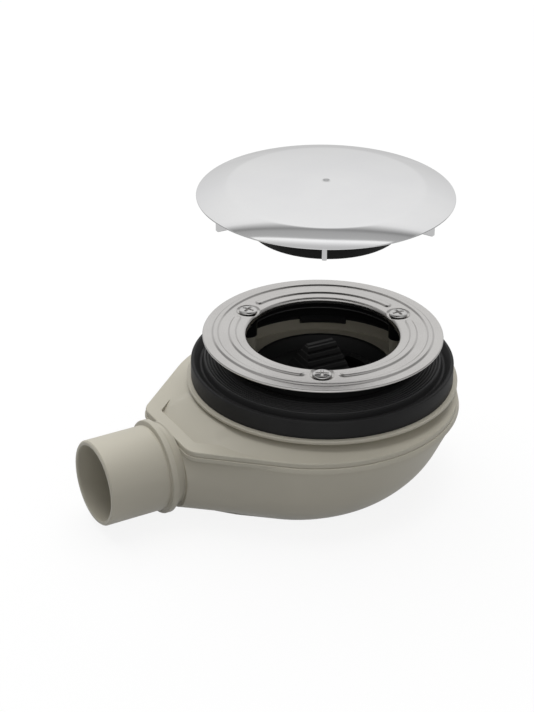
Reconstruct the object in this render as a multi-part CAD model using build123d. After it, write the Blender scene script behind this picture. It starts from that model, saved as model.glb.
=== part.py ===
from build123d import *
import os
from math import acos, atan2, cos, hypot, radians, sin, sqrt, tan

# Frame: millimetres, the inlet's axis is Z, the base stands on z = 0, the outlet points along -X.

# Levels above the base plane
seam_z = 39.0
flange_top_z = 71.0
cover_lift = 64.0

# Outline of the joint between the two shells, seen from above
rim_radius = 69.6
rim_centre_x = -5.0
nose_reach = 9.7
nose_x = rim_centre_x - rim_radius - nose_reach
nose_half_width = 23.0
nose_corner = 10.0
rim_upper_layer = 2.5
rim_lower_layer = 2.4
rim_edge_round = 0.7
rim_upper_inset = 0.4
seam_chamfer = 0.3

# Outlet spigot
outlet_radius = 20.2
outlet_wall = 2.3
outlet_axis_z = 23.5
outlet_length = 37.1
outlet_reach = outlet_length - nose_x
outlet_chamfer = 0.9
outlet_bore_radius = outlet_radius - outlet_wall

# Bead behind the straight part of the spigot
bead_radius = 22.3
bead_gap = 1.5
bead_slope_length = 2.2
bead_crest_length = 3.5
bead_back_x = nose_x - bead_gap
bead_crest_back_x = bead_back_x - bead_slope_length
bead_crest_front_x = bead_crest_back_x - bead_crest_length
bead_front_x = bead_crest_front_x - bead_slope_length
neck_swell = 0.1
neck_radius = outlet_radius + neck_swell

# Bowl
wall = 2.5
bowl_top_z = seam_z - rim_lower_layer
bowl_ledge = 0.6
bowl_top_radius = rim_radius - bowl_ledge
bowl_base_shift = -8.8
bowl_draft = 9.0
bowl_tuck = 13.5
bowl_tuck_power = 4
bowl_levels = 7
bowl_level_spread = 1.5
keel_length = 25.3
keel_front_x = nose_x + keel_length
keel_neck_z = outlet_axis_z - neck_radius
throat_depth = 0.5
throat_x = nose_x - throat_depth
throat_step = 1.0
neck_step = 0.6
least_half_width = 0.6

# Weir wall that keeps the water in the well
weir_radius = 42.2
weir_wall = 2.2
weir_top_z = 33.0

# Upper shell
flare_rise = 5.67
lip_radius = rim_radius + rim_centre_x
lip_overhang = 4.6
shell_neck_radius = lip_radius - lip_overhang
flare_edge = rim_radius - rim_upper_inset - rim_edge_round
flare_slope = flare_rise / (flare_edge - shell_neck_radius - rim_centre_x)
weld_land = 3.9
lip_bottom_z = 47.0
lip_top_z = 48.9
lip_edge_round = 0.5
deck_top_z = 48.2
deck_bottom_z = 45.6
upstand_inner_radius = 47.8
upstand_wall = 2.5
upstand_top_z = 54.2
pocket_side = 8.9
pocket_end = 6.6
pocket_corner = 2.5
pocket_floor = 0.6
tongue_depth = 1.2
tongue_gap = 0.3

# Socket for the insert, in the deck
socket_radius = 34.6
socket_ledge_z = 46.0
socket_bore_radius = 31.8
socket_wall = 2.4
socket_bottom_z = 38.0

# Tray seal
seal_ledge = 2.1
seal_radius = lip_radius - seal_ledge
seal_top_z = 57.9
seal_edge_round = 0.8
seal_gap = 0.3
seal_rim_width = 2.0
seal_groove_width = 3.9
seal_rim_inner_radius = seal_radius - seal_rim_width
seal_groove_inner_radius = seal_rim_inner_radius - seal_groove_width
seal_groove_z = 56.4
seal_land_z = 58.3
seal_land_overhang = 0.4
seal_land_inner_radius = upstand_inner_radius - seal_land_overhang
rib_count = 6
rib_height = 0.6
rib_margin = 0.5
rib_pitch = (seal_groove_inner_radius - seal_land_inner_radius - rib_margin) / rib_count
seal_tab_depth = 1.7
seal_tab_thickness = 1.6
seal_tab_half_angle = 14.0

# Neck sleeve
sleeve_radius = 44.6
sleeve_inner_radius = 38.5
sleeve_step_radius = 39.2
sleeve_step_z = 64.6
sleeve_skirt_wall = 2.2
sleeve_bottom_z = 58.5
sleeve_boss_radius = 4.4

# Clamping flange
flange_radius = 57.0
flange_hole_radius = 36.25
flange_sheet = 1.2
flange_edge_round = 0.4
flange_drop = 2.8
flange_drop_round = 1.6
bead_height = 0.55
ring_bead_inner_radius = 50.2
ring_bead_width = 2.3
arc_bead_inner_radius = 42.0
arc_bead_width = 2.3
arc_bead_clear_angle = 13.5

# Screws
screw_count = 3
screw_pitch_radius = 41.7
screw_turn = -1.5
screw_head_radius = 4.5
screw_head_height = 1.7
screw_head_edge = 0.7
screw_dome_angle = 40.0
screw_shank_radius = 1.9
screw_shank_end_z = 51.5
screw_hole_gap = 0.3
screw_slot_length = 5.0
screw_slot_width = 1.0
screw_slot_depth = 1.0
dimple_depth = 0.5
dimple_floor_radius = 4.9
dimple_radius = 6.2
tower_radius = 3.9
tower_hole_end_z = 50.0

# Cover, drawn lifted off the flange
cover_radius = 59.3
cover_rim_gap = 7.15
cover_shoulder_radius = 45.5
cover_shoulder_rise = 4.2
cover_crown_rise = 6.85
cover_half_way = 0.75
cover_bulge = 0.75
cover_wall = 1.6
cover_dimple_radius = 2.0
cover_dimple_depth = 0.5
fin_count = 6
fin_turn = -1.7
fin_thickness = 2.7
fin_outer_radius = 55.9
fin_inner_radius = 32.6
plug_radius = 35.3
plug_wall = 2.0
plug_drop = 9.35
plug_top_rise = 5.0
plug_gap = 0.7

# Trap insert
insert_turn = -12.0
insert_rim_radius = 33.5
insert_rim_z = 53.1
insert_collar_radius = 34.2
insert_rim_wall = 1.9
insert_floor_z = 47.5
insert_floor = 2.0
insert_land_radius = 31.4
insert_land_end_z = 38.6
insert_tube_radius = 28.4
insert_tube_bore_radius = 26.2
insert_tube_end_z = 6.0
window_inner_radius = 15.5
window_outer_radius = 24.5
window_half_angle = 42.0
grip_top_width = 14.0
grip_foot_width = 27.0
grip_top_y = 13.0
grip_back_y = 15.0
grip_foot_y = -9.0
grip_top_z = 59.5
grip_rib_count = 6
grip_rib_height = 0.7
grip_rib_fill = 0.5

# O-ring in the insert's groove
o_ring_radius = 30.2
o_ring_cord_radius = 1.3
o_ring_z = 42.2
o_ring_gap = 0.3
o_ring_sides = 12

# Derived levels
flange_bottom_z = flange_top_z - flange_sheet
plate_top_z = seam_z + rim_upper_layer
cover_rest_z = flange_top_z + cover_lift
cover_rim_z = cover_rest_z + cover_rim_gap
overlap = 1.0


def turned(*points):
    profile = make_face(Polyline(*points, close=True))
    return revolve(Plane.XZ * profile, Axis.Z)


def disc(radius, low, high, x=0.0):
    return Pos(x, 0, low) * extrude(Circle(radius), high - low)


def around(count, turn=0.0):
    return [Rot(0, 0, turn + 360.0 * i / count) for i in range(count)]


def tangent_point(centre_x, radius, x, y):
    reach = hypot(x - centre_x, y)
    angle = atan2(y, x - centre_x) - acos(radius / reach)
    return centre_x + radius * cos(angle), radius * sin(angle)


def teardrop(centre_x, radius, end_x, half_width):
    tx, ty = tangent_point(centre_x, radius, end_x, half_width)
    edges = [
        ThreePointArc((tx, -ty), (centre_x + radius, 0), (tx, ty)),
        Line((tx, ty), (end_x, half_width)),
        Line((end_x, half_width), (end_x, -half_width)),
        Line((end_x, -half_width), (tx, -ty)),
    ]
    return make_face(edges)


def rim_outline(side, end, corner):
    tx, ty = tangent_point(rim_centre_x, rim_radius, nose_x, nose_half_width)
    nx = (tx - rim_centre_x) / rim_radius
    ny = ty / rim_radius
    radius = rim_radius - side
    end_x = nose_x + end
    end_y = (radius - nx * (end_x - rim_centre_x)) / ny
    outline = teardrop(rim_centre_x, radius, end_x, end_y)
    return fillet(outline.vertices().sort_by(Axis.X)[:2], corner)


def bowl_level(z, inset):
    depth = (bowl_top_z - z) / bowl_top_z
    depth = min(max(depth, 0.0), 1.0)
    centre_x = rim_centre_x + bowl_base_shift * depth
    radius = bowl_top_radius - bowl_draft * depth - bowl_tuck * depth ** bowl_tuck_power - inset
    return centre_x, radius


def half_width(z, radius):
    rise = min(abs(z - outlet_axis_z), radius)
    return max(sqrt(radius ** 2 - rise ** 2), least_half_width)


def hull(bottom_z, top_z, inset, end_x, end_radius):
    sections = []
    for i in range(bowl_levels):
        share = i / (bowl_levels - 1)
        z = bottom_z + (top_z - bottom_z) * share ** bowl_level_spread
        centre_x, radius = bowl_level(z, inset)
        section = teardrop(centre_x, radius, end_x, half_width(z, end_radius))
        sections.append(Pos(0, 0, z) * section)
    return loft(sections)


def under_keel(rise):
    slope = keel_neck_z / (keel_front_x - nose_x)
    far_x = nose_x * 2
    face = make_face(Polyline(
        (keel_front_x, rise),
        (far_x, rise + slope * (keel_front_x - far_x)),
        (far_x, -bowl_top_z),
        (keel_front_x, -bowl_top_z),
        close=True,
    ))
    return extrude(Plane.XZ * face, rim_radius, both=True)


def outlet_profile(points):
    face = make_face(Polyline(*points, close=True))
    axis = Axis((0, 0, outlet_axis_z), (1, 0, 0))
    return revolve(Plane.XZ * Pos(0, outlet_axis_z) * face, axis)


def outlet_outside():
    return outlet_profile([
        (-outlet_reach, 0),
        (-outlet_reach, outlet_radius - outlet_chamfer),
        (-outlet_reach + outlet_chamfer, outlet_radius),
        (bead_front_x, outlet_radius),
        (bead_crest_front_x, bead_radius),
        (bead_crest_back_x, bead_radius),
        (bead_back_x, neck_radius),
        (nose_x, neck_radius),
        (nose_x, 0),
    ])


def outlet_bore():
    return outlet_profile([
        (-outlet_reach - overlap, 0),
        (-outlet_reach - overlap, outlet_bore_radius),
        (throat_x, outlet_bore_radius),
        (throat_x, 0),
    ])


def pocket_outline(gap=0.0):
    return rim_outline(pocket_side + gap, pocket_end + gap, pocket_corner)


def nose_ceiling():
    length = pocket_end + throat_depth + 2 * overlap
    height = seam_z - bowl_top_z + 2 * overlap
    block = Box(length, 2 * rim_radius, height, align=(Align.MAX, Align.CENTER, Align.MIN))
    return Pos(nose_x + pocket_end, 0, bowl_top_z) * block


def lower_shell():
    outline = rim_outline(0.0, 0.0, nose_corner)
    rim = Pos(0, 0, bowl_top_z) * extrude(outline, rim_lower_layer)
    rim = fillet(rim.faces().sort_by(Axis.Z)[0].edges(), rim_edge_round)
    rim = chamfer(rim.faces().sort_by(Axis.Z)[-1].edges(), seam_chamfer)
    outside = hull(0.0, bowl_top_z + overlap, 0.0, nose_x - overlap, neck_radius + neck_step)
    outside -= under_keel(0.0)
    outside -= Pos(nose_x - overlap, 0, 0) * Box(2 * overlap, 2 * rim_radius, 4 * seam_z)
    inside = hull(wall, seam_z + overlap, wall, throat_x - overlap / 2, outlet_bore_radius - throat_step)
    inside -= under_keel(wall)
    inside -= nose_ceiling()
    well = disc(weir_radius, wall / 2, weir_top_z) - disc(weir_radius - weir_wall, 0.0, seam_z)
    well = well & outside
    tongue = extrude(pocket_outline(), -tongue_depth - tongue_gap)
    shell = outside + rim + outlet_outside()
    shell -= inside
    shell -= outlet_bore()
    shell -= Pos(0, 0, seam_z) * tongue
    return shell + well


def flare():
    reach = hypot(nose_x - rim_centre_x, nose_half_width)
    floor_z = seam_z + pocket_floor
    floor_radius = flare_edge + (plate_top_z - floor_z) / flare_slope
    face = make_face(Polyline(
        (0, 0),
        (reach, 0),
        (reach, floor_z),
        (floor_radius, floor_z),
        (0, plate_top_z + flare_slope * flare_edge),
        close=True,
    ))
    solid = Pos(rim_centre_x, 0, 0) * revolve(Plane.XZ * face, Axis.Z)
    inset = rim_upper_inset + rim_edge_round
    block = rim_outline(inset, inset, nose_corner - rim_edge_round)
    block = Pos(0, 0, seam_z) * extrude(block, lip_bottom_z - seam_z + overlap / 2)
    return solid & block


def flare_void():
    inner = rim_radius - weld_land
    face = make_face(Polyline(
        (0, seam_z - overlap),
        (inner, seam_z - overlap),
        (inner, plate_top_z - wall + flare_slope * (flare_edge - inner)),
        (0, plate_top_z - wall + flare_slope * flare_edge),
        close=True,
    ))
    void = Pos(rim_centre_x, 0, 0) * revolve(Plane.XZ * face, Axis.Z)
    return void & disc(rim_radius * 2, seam_z - overlap, deck_bottom_z)


def upper_shell():
    outline = rim_outline(rim_upper_inset, rim_upper_inset, nose_corner)
    rim = Pos(0, 0, seam_z) * extrude(outline, rim_upper_layer)
    rim = fillet(rim.faces().sort_by(Axis.Z)[-1].edges(), rim_edge_round)
    rim = chamfer(rim.faces().sort_by(Axis.Z)[0].edges(), seam_chamfer)
    rim -= Pos(0, 0, seam_z - overlap) * extrude(pocket_outline(), rim_upper_layer + 2 * overlap)
    tongue = Pos(0, 0, seam_z - tongue_depth) * extrude(pocket_outline(tongue_gap), tongue_depth)
    tongue -= disc(rim_radius, 0.0, flange_top_z, rim_centre_x)
    shell = rim + flare() + tongue
    shell += disc(shell_neck_radius, seam_z, lip_bottom_z + overlap / 2)
    shell -= flare_void()
    shell -= disc(shell_neck_radius - wall, seam_z - overlap, deck_bottom_z)
    upstand_radius = upstand_inner_radius + upstand_wall
    shell += turned(
        (socket_radius, deck_bottom_z),
        (shell_neck_radius - overlap, deck_bottom_z),
        (shell_neck_radius - overlap, lip_bottom_z),
        (lip_radius - lip_edge_round, lip_bottom_z),
        (lip_radius, lip_bottom_z + lip_edge_round),
        (lip_radius, lip_top_z - lip_edge_round),
        (lip_radius - lip_edge_round, lip_top_z),
        (upstand_radius, lip_top_z),
        (upstand_radius, upstand_top_z),
        (upstand_inner_radius, upstand_top_z),
        (upstand_inner_radius, deck_top_z),
        (socket_radius, deck_top_z),
    )
    shell -= disc(socket_radius, socket_bottom_z - overlap, flange_top_z)
    shell += turned(
        (socket_bore_radius, socket_bottom_z),
        (socket_radius + socket_wall / 2, socket_bottom_z),
        (socket_radius + socket_wall, deck_bottom_z),
        (socket_radius + socket_wall, deck_top_z),
        (socket_radius, deck_top_z),
        (socket_radius, socket_ledge_z),
        (socket_bore_radius, socket_ledge_z),
    )
    for place in around(screw_count, screw_turn):
        tower = disc(tower_radius, deck_bottom_z, sleeve_bottom_z, screw_pitch_radius)
        hole_radius = screw_shank_radius + screw_hole_gap
        hole = disc(hole_radius, tower_hole_end_z, flange_top_z, screw_pitch_radius)
        shell = shell + place * tower - place * hole
    return shell


def tray_seal():
    bottom_radius = upstand_inner_radius + upstand_wall + seal_gap
    points = [
        (bottom_radius, lip_top_z),
        (seal_radius, lip_top_z),
        (seal_radius, seal_top_z - seal_edge_round),
        (seal_radius - seal_edge_round, seal_top_z),
        (seal_rim_inner_radius, seal_top_z),
        (seal_rim_inner_radius - rib_height, seal_groove_z),
        (seal_groove_inner_radius + rib_height, seal_groove_z),
        (seal_groove_inner_radius, seal_land_z),
    ]
    for i in range(rib_count):
        foot = seal_groove_inner_radius - i * rib_pitch
        points.append((foot - rib_pitch / 2, seal_land_z + rib_height))
        points.append((foot - rib_pitch, seal_land_z))
    points.append((seal_land_inner_radius, seal_land_z))
    points.append((seal_land_inner_radius, upstand_top_z))
    points.append((bottom_radius, upstand_top_z))
    seal = turned(*points)
    tab = turned(
        (upstand_inner_radius - seal_gap, upstand_top_z + overlap),
        (upstand_inner_radius - seal_gap, upstand_top_z - seal_tab_depth),
        (upstand_inner_radius - seal_gap - seal_tab_thickness, upstand_top_z - seal_tab_depth),
        (upstand_inner_radius - seal_gap - seal_tab_thickness, seal_land_z),
        (upstand_inner_radius, seal_land_z),
        (upstand_inner_radius, upstand_top_z + overlap),
    )
    half = seal_radius * tan(radians(seal_tab_half_angle))
    wedge = make_face(Polyline((0, 0), (seal_radius, -half), (seal_radius, half), close=True))
    wedge = extrude(wedge, flange_top_z)
    tab = tab & wedge
    for place in around(screw_count, screw_turn + 180.0 / screw_count):
        seal += place * tab
    return seal


def neck_sleeve():
    skirt_inner_radius = sleeve_radius - sleeve_skirt_wall
    sleeve = turned(
        (skirt_inner_radius, sleeve_bottom_z),
        (sleeve_radius, sleeve_bottom_z),
        (sleeve_radius, flange_bottom_z),
        (sleeve_inner_radius, flange_bottom_z),
        (sleeve_step_radius, sleeve_step_z),
        (skirt_inner_radius, sleeve_step_z),
    )
    limit = disc(sleeve_radius, 0.0, flange_top_z)
    for place in around(screw_count, screw_turn):
        boss = disc(sleeve_boss_radius, sleeve_bottom_z, sleeve_step_z + overlap, screw_pitch_radius)
        sleeve += place * (boss & limit)
    for place in around(screw_count, screw_turn):
        hole = disc(screw_shank_radius + screw_hole_gap, 0.0, flange_top_z, screw_pitch_radius)
        sleeve -= place * hole
    return sleeve


def arc_bead():
    half = arc_bead_width / 2
    middle = arc_bead_inner_radius + half
    span = 360.0 / screw_count - 2 * arc_bead_clear_angle
    section = make_face(Polyline(
        (middle - half, flange_top_z),
        (middle, flange_top_z + bead_height),
        (middle + half, flange_top_z),
        (middle + half, flange_top_z - flange_sheet / 2),
        (middle - half, flange_top_z - flange_sheet / 2),
        close=True,
    ))
    bead = revolve(Plane.XZ * section, Axis.Z, span)
    end = Cone(half, 0.0, bead_height, align=(Align.CENTER, Align.CENTER, Align.MIN))
    end = Pos(middle, 0, flange_top_z) * end
    bead += end
    bead += Rot(0, 0, span) * end
    return Rot(0, 0, arc_bead_clear_angle) * bead


def clamping_flange():
    ring_middle = ring_bead_inner_radius + ring_bead_width / 2
    drop_z = flange_top_z - flange_drop
    turn = flange_drop_round
    flange = turned(
        (flange_hole_radius, drop_z),
        (flange_hole_radius + flange_sheet, drop_z),
        (sleeve_inner_radius, flange_bottom_z),
        (flange_radius - flange_edge_round, flange_bottom_z),
        (flange_radius, flange_bottom_z + flange_edge_round),
        (flange_radius, flange_top_z - flange_edge_round),
        (flange_radius - flange_edge_round, flange_top_z),
        (ring_bead_inner_radius + ring_bead_width, flange_top_z),
        (ring_middle, flange_top_z + bead_height),
        (ring_bead_inner_radius, flange_top_z),
        (flange_hole_radius + turn, flange_top_z),
        (flange_hole_radius + turn / 3, flange_top_z - turn / 3),
        (flange_hole_radius, flange_top_z - turn),
    )
    floor_z = flange_top_z - dimple_depth
    for place in around(screw_count, screw_turn):
        flange += place * arc_bead()
    for place in around(screw_count, screw_turn):
        dimple = Pos(screw_pitch_radius, 0, 0) * turned(
            (0, floor_z),
            (dimple_floor_radius, floor_z),
            (dimple_radius, flange_top_z),
            (dimple_radius, flange_top_z + overlap),
            (0, flange_top_z + overlap),
        )
        hole = disc(screw_shank_radius + screw_hole_gap, drop_z, flange_top_z, screw_pitch_radius)
        flange = flange - place * dimple - place * hole
    return flange


def flange_screws():
    seat_z = flange_top_z - dimple_depth
    top_z = seat_z + screw_head_height
    head = turned(
        (0, screw_shank_end_z),
        (screw_shank_radius / 3, screw_shank_end_z),
        (screw_shank_radius, screw_shank_end_z + 2 * screw_shank_radius),
        (screw_shank_radius, seat_z),
        (screw_head_radius, seat_z),
        (screw_head_radius, seat_z + screw_head_edge),
        (screw_head_radius * cos(radians(screw_dome_angle)), top_z - screw_head_edge / 3),
        (screw_head_radius / 2, top_z),
        (0, top_z),
    )
    slot = Box(screw_slot_length, screw_slot_width, 2 * screw_slot_depth)
    cross = slot + Rot(0, 0, 90) * slot
    screw = head - Pos(0, 0, top_z) * cross
    places = around(screw_count, screw_turn)
    return Compound(children=[place * Pos(screw_pitch_radius, 0, 0) * screw for place in places])


def cover_skin(wall_in, rim_drop):
    crown = (0, cover_rim_z + cover_crown_rise - wall_in)
    shoulder_z = cover_rim_z + cover_shoulder_rise - wall_in
    rim = (cover_radius - wall_in, cover_rim_z - rim_drop)
    shoulder = (cover_shoulder_radius - wall_in / 3, shoulder_z)
    middle_x = (shoulder[0] + rim[0]) / 2
    middle = (middle_x + cover_bulge / 2, (shoulder_z + rim[1]) / 2 + cover_bulge)
    quarter = (shoulder[0] / 2, shoulder_z + (crown[1] - shoulder_z) * cover_half_way)
    face = make_face([
        ThreePointArc(crown, quarter, shoulder),
        ThreePointArc(shoulder, middle, rim),
        Line(rim, (0, rim[1])),
        Line((0, rim[1]), crown),
    ])
    return revolve(Plane.XZ * face, Axis.Z)


def cover():
    skin = cover_skin(0.0, 0.0)
    hollow = cover_skin(cover_wall, overlap)
    dome = skin - hollow
    crown_z = cover_rim_z + cover_crown_rise
    dome -= Pos(0, 0, crown_z) * Cone(0.0, cover_dimple_radius, 2 * cover_dimple_depth)
    ring_top_z = cover_rest_z + plug_top_rise
    step_radius = plug_radius + plug_gap
    profile = make_face(Polyline(
        (fin_inner_radius, ring_top_z),
        (step_radius, ring_top_z),
        (step_radius, cover_rest_z),
        (fin_outer_radius, cover_rest_z),
        (fin_outer_radius, crown_z),
        (fin_inner_radius, crown_z),
        close=True,
    ))
    fin = extrude(Plane.XZ * profile, fin_thickness / 2, both=True)
    inside = cover_skin(cover_wall / 2, 0.0) + disc(cover_radius - cover_wall, cover_rest_z, cover_rim_z)
    fin = fin & inside
    for place in around(fin_count, fin_turn):
        dome += place * fin
    return dome


def plug_ring():
    bottom_z = cover_rest_z - plug_drop
    top_z = cover_rest_z + plug_top_rise
    bore = disc(plug_radius - plug_wall, bottom_z - overlap, top_z + overlap)
    return disc(plug_radius, bottom_z, top_z) - bore


def insert_window():
    ring = disc(window_outer_radius, 0.0, insert_rim_z) - disc(window_inner_radius, 0.0, insert_rim_z)
    half = seal_radius * tan(radians(window_half_angle))
    wedge = make_face(Polyline((0, 0), (seal_radius, -half), (seal_radius, half), close=True))
    return ring & extrude(wedge, insert_rim_z)


def grip_block(raise_by):
    top_z = grip_top_z + raise_by
    floor_z = insert_floor_z - insert_floor / 2
    foot_y = grip_foot_y - raise_by
    profile = make_face(Polyline(
        (foot_y, floor_z),
        (grip_back_y, floor_z),
        (grip_back_y, top_z),
        (grip_top_y, top_z),
        (foot_y, insert_floor_z),
        close=True,
    ))
    block = extrude(Plane.YZ * profile, grip_foot_width, both=True)
    top_half = grip_top_width / 2
    foot_half = grip_foot_width / 2
    front = make_face(Polyline(
        (-foot_half, floor_z),
        (foot_half, floor_z),
        (top_half, top_z),
        (-top_half, top_z),
        close=True,
    ))
    return block & extrude(Plane.XZ * front, grip_foot_width, both=True)


def grip():
    plain = grip_block(0.0)
    raised = grip_block(grip_rib_height)
    pitch = (grip_top_z - insert_floor_z) / grip_rib_count
    bars = Part()
    for i in range(grip_rib_count):
        z = insert_floor_z + (i + 0.5) * pitch
        bars += Pos(0, 0, z) * Box(2 * grip_foot_width, 4 * grip_foot_width, pitch * grip_rib_fill)
    return plain + (raised & bars)


def trap_insert():
    groove_radius = o_ring_radius - o_ring_cord_radius - o_ring_gap
    groove_low_z = o_ring_z - o_ring_cord_radius
    groove_high_z = o_ring_z + o_ring_cord_radius + o_ring_gap
    floor_low_z = insert_floor_z - insert_floor
    body = turned(
        (insert_tube_bore_radius, insert_tube_end_z),
        (insert_tube_radius, insert_tube_end_z),
        (insert_tube_radius, insert_land_end_z),
        (insert_land_radius, insert_land_end_z + (insert_land_radius - insert_tube_radius) / 2),
        (insert_land_radius, groove_low_z),
        (groove_radius, groove_low_z),
        (groove_radius, groove_high_z),
        (insert_land_radius, groove_high_z),
        (insert_land_radius, socket_ledge_z),
        (insert_collar_radius, socket_ledge_z),
        (insert_collar_radius, deck_top_z),
        (insert_rim_radius, insert_rim_z),
        (insert_rim_radius - insert_rim_wall, insert_rim_z),
        (insert_tube_bore_radius + insert_rim_wall, insert_floor_z),
        (0, insert_floor_z),
        (0, floor_low_z),
        (insert_tube_bore_radius, floor_low_z),
    )
    window = insert_window()
    body = body - window - Rot(0, 0, 180) * window
    return Rot(0, 0, insert_turn) * (body + grip())


def insert_o_ring():
    section = RegularPolygon(o_ring_cord_radius, o_ring_sides, False, rotation=180.0 / o_ring_sides)
    return revolve(Plane.XZ * Pos(o_ring_radius, o_ring_z) * section, Axis.Z)


os.makedirs("parts", exist_ok=True)
pieces = {
    "cover": cover,
    "plug_ring": plug_ring,
    "clamping_flange": clamping_flange,
    "flange_screws": flange_screws,
    "neck_sleeve": neck_sleeve,
    "tray_seal": tray_seal,
    "upper_shell": upper_shell,
    "lower_shell": lower_shell,
    "trap_insert": trap_insert,
    "insert_o_ring": insert_o_ring,
}
for name, make in pieces.items():
    shape = make()
    export_step(shape, f"parts/{name}.step")
    print(name, len(shape.solids()), round(sum(s.volume for s in shape.solids())))
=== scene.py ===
import math

import bmesh
import bpy
import numpy as np
from mathutils import Matrix, Vector


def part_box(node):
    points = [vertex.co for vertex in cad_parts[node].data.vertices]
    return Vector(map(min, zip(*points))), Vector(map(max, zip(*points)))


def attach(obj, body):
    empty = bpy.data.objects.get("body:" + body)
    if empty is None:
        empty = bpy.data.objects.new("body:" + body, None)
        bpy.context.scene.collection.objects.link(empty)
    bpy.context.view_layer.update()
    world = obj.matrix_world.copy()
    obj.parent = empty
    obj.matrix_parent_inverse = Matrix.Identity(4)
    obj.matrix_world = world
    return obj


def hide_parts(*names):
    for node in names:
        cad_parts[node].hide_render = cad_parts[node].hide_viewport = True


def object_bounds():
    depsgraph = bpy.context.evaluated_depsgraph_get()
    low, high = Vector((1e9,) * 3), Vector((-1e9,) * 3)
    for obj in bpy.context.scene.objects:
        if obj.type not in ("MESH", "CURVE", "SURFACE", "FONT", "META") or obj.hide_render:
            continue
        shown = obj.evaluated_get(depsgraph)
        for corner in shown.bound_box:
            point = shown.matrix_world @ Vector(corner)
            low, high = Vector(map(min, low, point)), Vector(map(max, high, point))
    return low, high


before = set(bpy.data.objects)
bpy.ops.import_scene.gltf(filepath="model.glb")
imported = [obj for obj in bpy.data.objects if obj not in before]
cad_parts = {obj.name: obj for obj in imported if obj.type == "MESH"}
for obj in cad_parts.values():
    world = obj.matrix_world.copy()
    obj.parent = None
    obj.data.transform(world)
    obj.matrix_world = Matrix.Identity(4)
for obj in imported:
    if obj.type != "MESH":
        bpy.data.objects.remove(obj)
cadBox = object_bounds()
mm = 0.001    # the scene is in metres


# mesh helpers

def smoothStep(share):
    return share * share * (3 - 2 * share)    # eases 0..1 at both ends


def roundedProfile(corners, steps=6, straight=0.02, sideShare=0.49):
    # corners are (r, z, radius); each turn becomes an arc, no longer than its sides allow
    points = []
    count = len(corners)
    for i, (r, z, radius) in enumerate(corners):
        here = np.array((r, z), float)
        before = np.array(corners[i - 1][:2], float) - here
        after = np.array(corners[(i + 1) % count][:2], float) - here
        reachBefore, reachAfter = np.linalg.norm(before), np.linalg.norm(after)
        before, after = before / reachBefore, after / reachAfter
        opening = math.acos(max(-1.0, min(1.0, float(before @ after))))
        sweep = math.pi - opening
        if radius <= 0 or sweep < straight:
            points.append(tuple(here))
            continue
        tangent = min(radius / math.tan(opening / 2), sideShare * reachBefore, sideShare * reachAfter)
        radius = tangent * math.tan(opening / 2)
        middle = before + after
        middle = here + middle / np.linalg.norm(middle) * radius / math.sin(opening / 2)
        start = here + before * tangent - middle
        end = here + after * tangent - middle
        for k in range(steps + 1):
            share = k / steps
            a = math.sin((1 - share) * sweep) / math.sin(sweep)
            b = math.sin(share * sweep) / math.sin(sweep)
            points.append(tuple(middle + a * start + b * end))
    return points


def cleanMesh(mesh, merge=1e-6):
    bm = bmesh.new()
    bm.from_mesh(mesh)
    bmesh.ops.remove_doubles(bm, verts=bm.verts, dist=merge)
    bmesh.ops.dissolve_degenerate(bm, edges=bm.edges, dist=merge)
    bmesh.ops.recalc_face_normals(bm, faces=bm.faces)
    bm.to_mesh(mesh)
    bm.free()
    return mesh


def gridMesh(name, points, closeAlong=True):
    # points[i][j] is turn i round the axis, station j along the profile
    around, along = points.shape[:2]
    mesh = bpy.data.meshes.new(name)
    number = np.arange(around * along).reshape(around, along)
    nextTurn = np.roll(number, -1, axis=0)
    if closeAlong:
        quads = [number, nextTurn, np.roll(nextTurn, -1, axis=1), np.roll(number, -1, axis=1)]
    else:
        quads = [number[:, :-1], nextTurn[:, :-1], nextTurn[:, 1:], number[:, 1:]]
    faces = np.stack(quads, axis=-1).reshape(-1, 4)
    mesh.from_pydata(points.reshape(-1, 3).tolist(), [], faces.tolist())
    return cleanMesh(mesh)


def lathe(name, profile, steps=288):
    # a closed profile of (r, z) turned round the Z axis
    r, z = np.array(profile).T
    turn = np.linspace(0, 2 * math.pi, steps, endpoint=False)[:, None]
    height = np.broadcast_to(z, (steps, len(z)))
    return gridMesh(name, np.stack([np.cos(turn) * r, np.sin(turn) * r, height], axis=-1))


def arcSolid(name, section, half, steps, centreX=0.0):
    # a closed section of (r, z) swept from -half to +half round an upright axis
    bm = bmesh.new()
    rows = []
    for a in np.linspace(-half, half, steps):
        rows.append([bm.verts.new((centreX + r * math.cos(a), r * math.sin(a), z)) for r, z in section])
    for first, second in zip(rows, rows[1:]):
        for i in range(len(section)):
            j = (i + 1) % len(section)
            bm.faces.new((first[i], first[j], second[j], second[i]))
    bm.faces.new(rows[0][::-1])
    bm.faces.new(rows[-1])
    bmesh.ops.recalc_face_normals(bm, faces=bm.faces)
    mesh = bpy.data.meshes.new(name)
    bm.to_mesh(mesh)
    bm.free()
    return mesh


def solidCopy(node, name, change=None, merge=2e-6):
    # the solid's own mesh, its loose triangles joined and its normals kept
    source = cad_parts[node].data
    bm = bmesh.new()
    bm.from_mesh(source)
    keep = bm.loops.layers.float_vector.new("keep")
    corners = iter(source.corner_normals)
    for face in bm.faces:
        for loop in face.loops:
            loop[keep] = next(corners).vector
    bmesh.ops.remove_doubles(bm, verts=bm.verts, dist=merge)
    if change:
        change(bm)
    bm.normal_update()
    normals = []
    for face in bm.faces:
        for loop in face.loops:
            kept = loop[keep].length > 0.5    # a zeroed normal asks for the face's own
            normals.append(loop[keep].normalized() if kept else face.normal.copy())
    bm.loops.layers.float_vector.remove(keep)
    mesh = bpy.data.meshes.new(name)
    bm.to_mesh(mesh)
    bm.free()
    mesh.shade_smooth()
    mesh.normals_split_custom_set(normals)
    return mesh


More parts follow.
